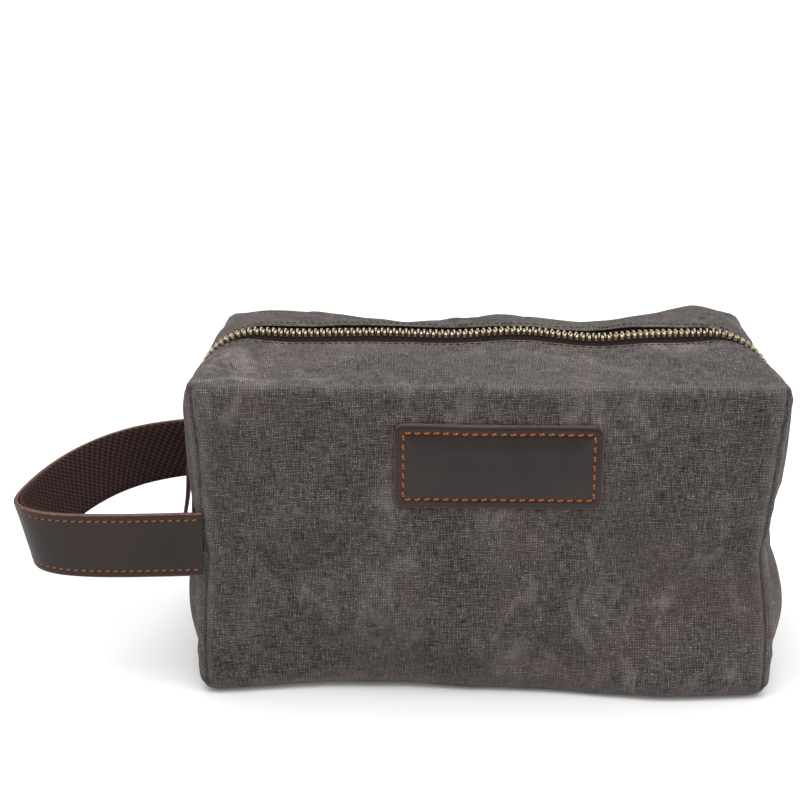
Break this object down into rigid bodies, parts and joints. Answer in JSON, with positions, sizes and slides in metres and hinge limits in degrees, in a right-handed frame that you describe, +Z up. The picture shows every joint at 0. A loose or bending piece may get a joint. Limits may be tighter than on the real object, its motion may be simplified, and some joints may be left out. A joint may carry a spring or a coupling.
{
  "type": "shaving kit bag",
  "caption": "Boxed canvas wash bag with a full-length metal zip over the top, a leather patch on the front and a leather end handle.",
  "frame": {"origin": "centre of the bag's base, on the surface it stands on, midway between the two end seams and between front and back", "axes": "+X along the zip away from the handle end, -Y out of the front with the patch, +Z up"},
  "size_m": [0.3483, 0.1369, 0.1524],
  "materials": {
    "waxed_canvas": "waxed dark grey canvas with rubbed lighter creases",
    "lining_cotton": "plain woven cotton",
    "zip_tape": "dark brown herringbone tape",
    "antique_brass": "antiqued satin brass",
    "brown_leather": "oiled dark brown leather with burnished edges and orange-brown stitching",
    "cotton_webbing": "ribbed dark brown cotton webbing"
  },
  "bodies": {
    "bag": {"main_panel": "waxed_canvas", "left_end_panel": "waxed_canvas", "right_end_panel": "waxed_canvas", "body_lining": "lining_cotton", "leather_patch": "brown_leather", "left_end_front_tape": "zip_tape", "left_end_back_tape": "zip_tape", "right_end_front_tape": "zip_tape", "right_end_back_tape": "zip_tape", "left_end_front_teeth": "antique_brass", "left_end_back_teeth": "antique_brass", "right_end_front_teeth": "antique_brass", "right_end_back_teeth": "antique_brass", "left_stop": "antique_brass", "right_stop": "antique_brass"},
    "front_flap": {"front_top_panel": "waxed_canvas", "front_top_lining": "lining_cotton", "front_tape": "zip_tape", "front_teeth": "antique_brass"},
    "back_flap": {"back_top_panel": "waxed_canvas", "back_top_lining": "lining_cotton", "back_tape": "zip_tape", "back_teeth": "antique_brass"},
    "slider_body": {"slider": "antique_brass"},
    "ring": {"pull_ring": "antique_brass"},
    "pull": {"leather_pull": "brown_leather"},
    "handle": {"handle_strap": "brown_leather", "handle_webbing": "cotton_webbing"}
  },
  "joints": [
    {"name": "front_flap_fold", "type": "hinge", "parent": "bag", "child": "front_flap", "pos_m": [0, -0.062, 0.14693], "axis": [1, 0, 0], "range_deg": [0, 65]},
    {"name": "back_flap_fold", "type": "hinge", "parent": "bag", "child": "back_flap", "pos_m": [0, 0.062, 0.14693], "axis": [-1, 0, 0], "range_deg": [0, 65]},
    {"name": "slider_run", "type": "slide", "parent": "bag", "child": "slider_body", "axis": [0, 0, 1], "range_m": [0, 0.018]},
    {"name": "ring_swing", "type": "hinge", "parent": "slider_body", "child": "ring", "pos_m": [-0.1405, 0, 0.095], "axis": [0, 1, 0], "range_deg": [0, 110]},
    {"name": "pull_swing", "type": "hinge", "parent": "ring", "child": "pull", "pos_m": [-0.1405, 0, 0.086], "axis": [0, 1, 0], "range_deg": [0, 60]},
    {"name": "handle_swing", "type": "hinge", "parent": "bag", "child": "handle", "pos_m": [-0.148, 0, 0.071], "axis": [0, 1, 0], "range_deg": [-25, 25], "stiffness_Nm_per_rad": 0.3}
  ]
}
